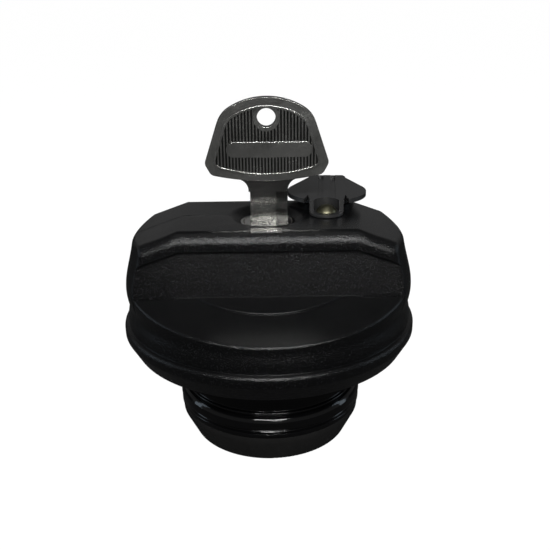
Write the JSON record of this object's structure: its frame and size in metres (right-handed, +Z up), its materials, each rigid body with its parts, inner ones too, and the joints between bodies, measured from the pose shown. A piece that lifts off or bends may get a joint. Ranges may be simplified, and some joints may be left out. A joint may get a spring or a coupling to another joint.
{
  "type": "fuel filler cap",
  "caption": "round plug-in fuel filler cap with a raised grip bar, a key lock under a swivelling dust cover, the key in the lock, and a ribbed seal on its plug",
  "frame": {"origin": "centre of the underside of the plug, on the axis of the cap", "axes": "+Z up along the axis of the cap; the grip bar runs along X with the dust cover pivot on +X; the front faces -Y"},
  "size_m": [0.076, 0.076, 0.0888],
  "materials": {
    "black_plastic": "moulded black plastic with a fine spark-eroded grain on the grip faces",
    "closure_plastic": "smooth black plastic",
    "cup_plastic": "matte dark grey plastic",
    "seal_rubber": "glossy wet-looking black rubber",
    "lock_chrome": "bright chrome-plated die casting",
    "key_nickel": "nickel-plated key metal, slightly toned",
    "rivet_brass": "olive-toned passivated rivet",
    "wafer_brass": "plain stamped brass",
    "spring_steel": "bright spring wire",
    "screw_steel": "zinc-plated steel",
    "bolt_zinc": "zinc die casting",
    "valve_plastic": "natural acetal plastic"
  },
  "bodies": {
    "closure": {"inner_closure": "closure_plastic", "coupling_ring": "bolt_zinc", "neck_gasket": "seal_rubber", "seal_ring": "seal_rubber", "bottom_cup": "cup_plastic", "valve_cage": "valve_plastic", "valve_screws": "screw_steel", "pressure_spring": "spring_steel"},
    "cap": {"cap_shell": "black_plastic", "lock_housing": "lock_chrome", "housing_screws": "screw_steel", "cover_rivet": "rivet_brass", "bolt_guide": "valve_plastic", "guide_screws": "screw_steel", "retaining_ring": "spring_steel"},
    "rotor": {"lock_rotor": "lock_chrome", "wafer_1": "wafer_brass", "wafer_2": "wafer_brass", "wafer_3": "wafer_brass", "wafer_4": "wafer_brass", "wafer_5": "wafer_brass", "wafer_spring_1": "spring_steel", "wafer_spring_2": "spring_steel", "wafer_spring_3": "spring_steel", "wafer_spring_4": "spring_steel", "wafer_spring_5": "spring_steel", "rotor_clip": "spring_steel", "drive_cam": "bolt_zinc", "cam_screw": "screw_steel"},
    "key": {"key": "key_nickel"},
    "cover": {"dust_cover": "black_plastic"},
    "bolt": {"locking_bolt": "bolt_zinc"},
    "pressure_disc": {"pressure_valve": "valve_plastic", "pressure_pad": "seal_rubber", "vacuum_spring": "spring_steel"},
    "vacuum_disc": {"vacuum_valve": "valve_plastic"}
  },
  "joints": [
    {"name": "shell_spin", "type": "hinge", "parent": "closure", "child": "cap", "pos_m": [0, 0, 0.0355], "axis": [0, 0, 1], "continuous": true},
    {"name": "lock_turn", "type": "hinge", "parent": "cap", "child": "rotor", "pos_m": [0, 0, 0.0576], "axis": [0, 0, 1], "range_deg": [0, 90]},
    {"name": "key_pull", "type": "slide", "parent": "rotor", "child": "key", "axis": [0, 0, 1], "range_m": [0, 0.0225]},
    {"name": "bolt_slide", "type": "slide", "parent": "cap", "child": "bolt", "axis": [-1, 0, 0], "range_m": [0, 0.00425]},
    {"name": "cover_swing", "type": "hinge", "parent": "cap", "child": "cover", "pos_m": [0.015, 0, 0.0605], "axis": [0, 0, 1], "range_deg": [-195, 20]},
    {"name": "pressure_lift", "type": "slide", "parent": "closure", "child": "pressure_disc", "axis": [0, 0, 1], "range_m": [0, 0.0025], "stiffness_N_per_m": 1200, "springref_m": -0.002, "deforming": ["pressure_spring"]},
    {"name": "vacuum_drop", "type": "slide", "parent": "pressure_disc", "child": "vacuum_disc", "axis": [0, 0, -1], "range_m": [0, 0.0015], "stiffness_N_per_m": 150, "springref_m": -0.002, "deforming": ["vacuum_spring"]}
  ],
  "couplings": [
    {"joint": "bolt_slide", "follows": "lock_turn", "m_per_rad": 0.002701}
  ]
}
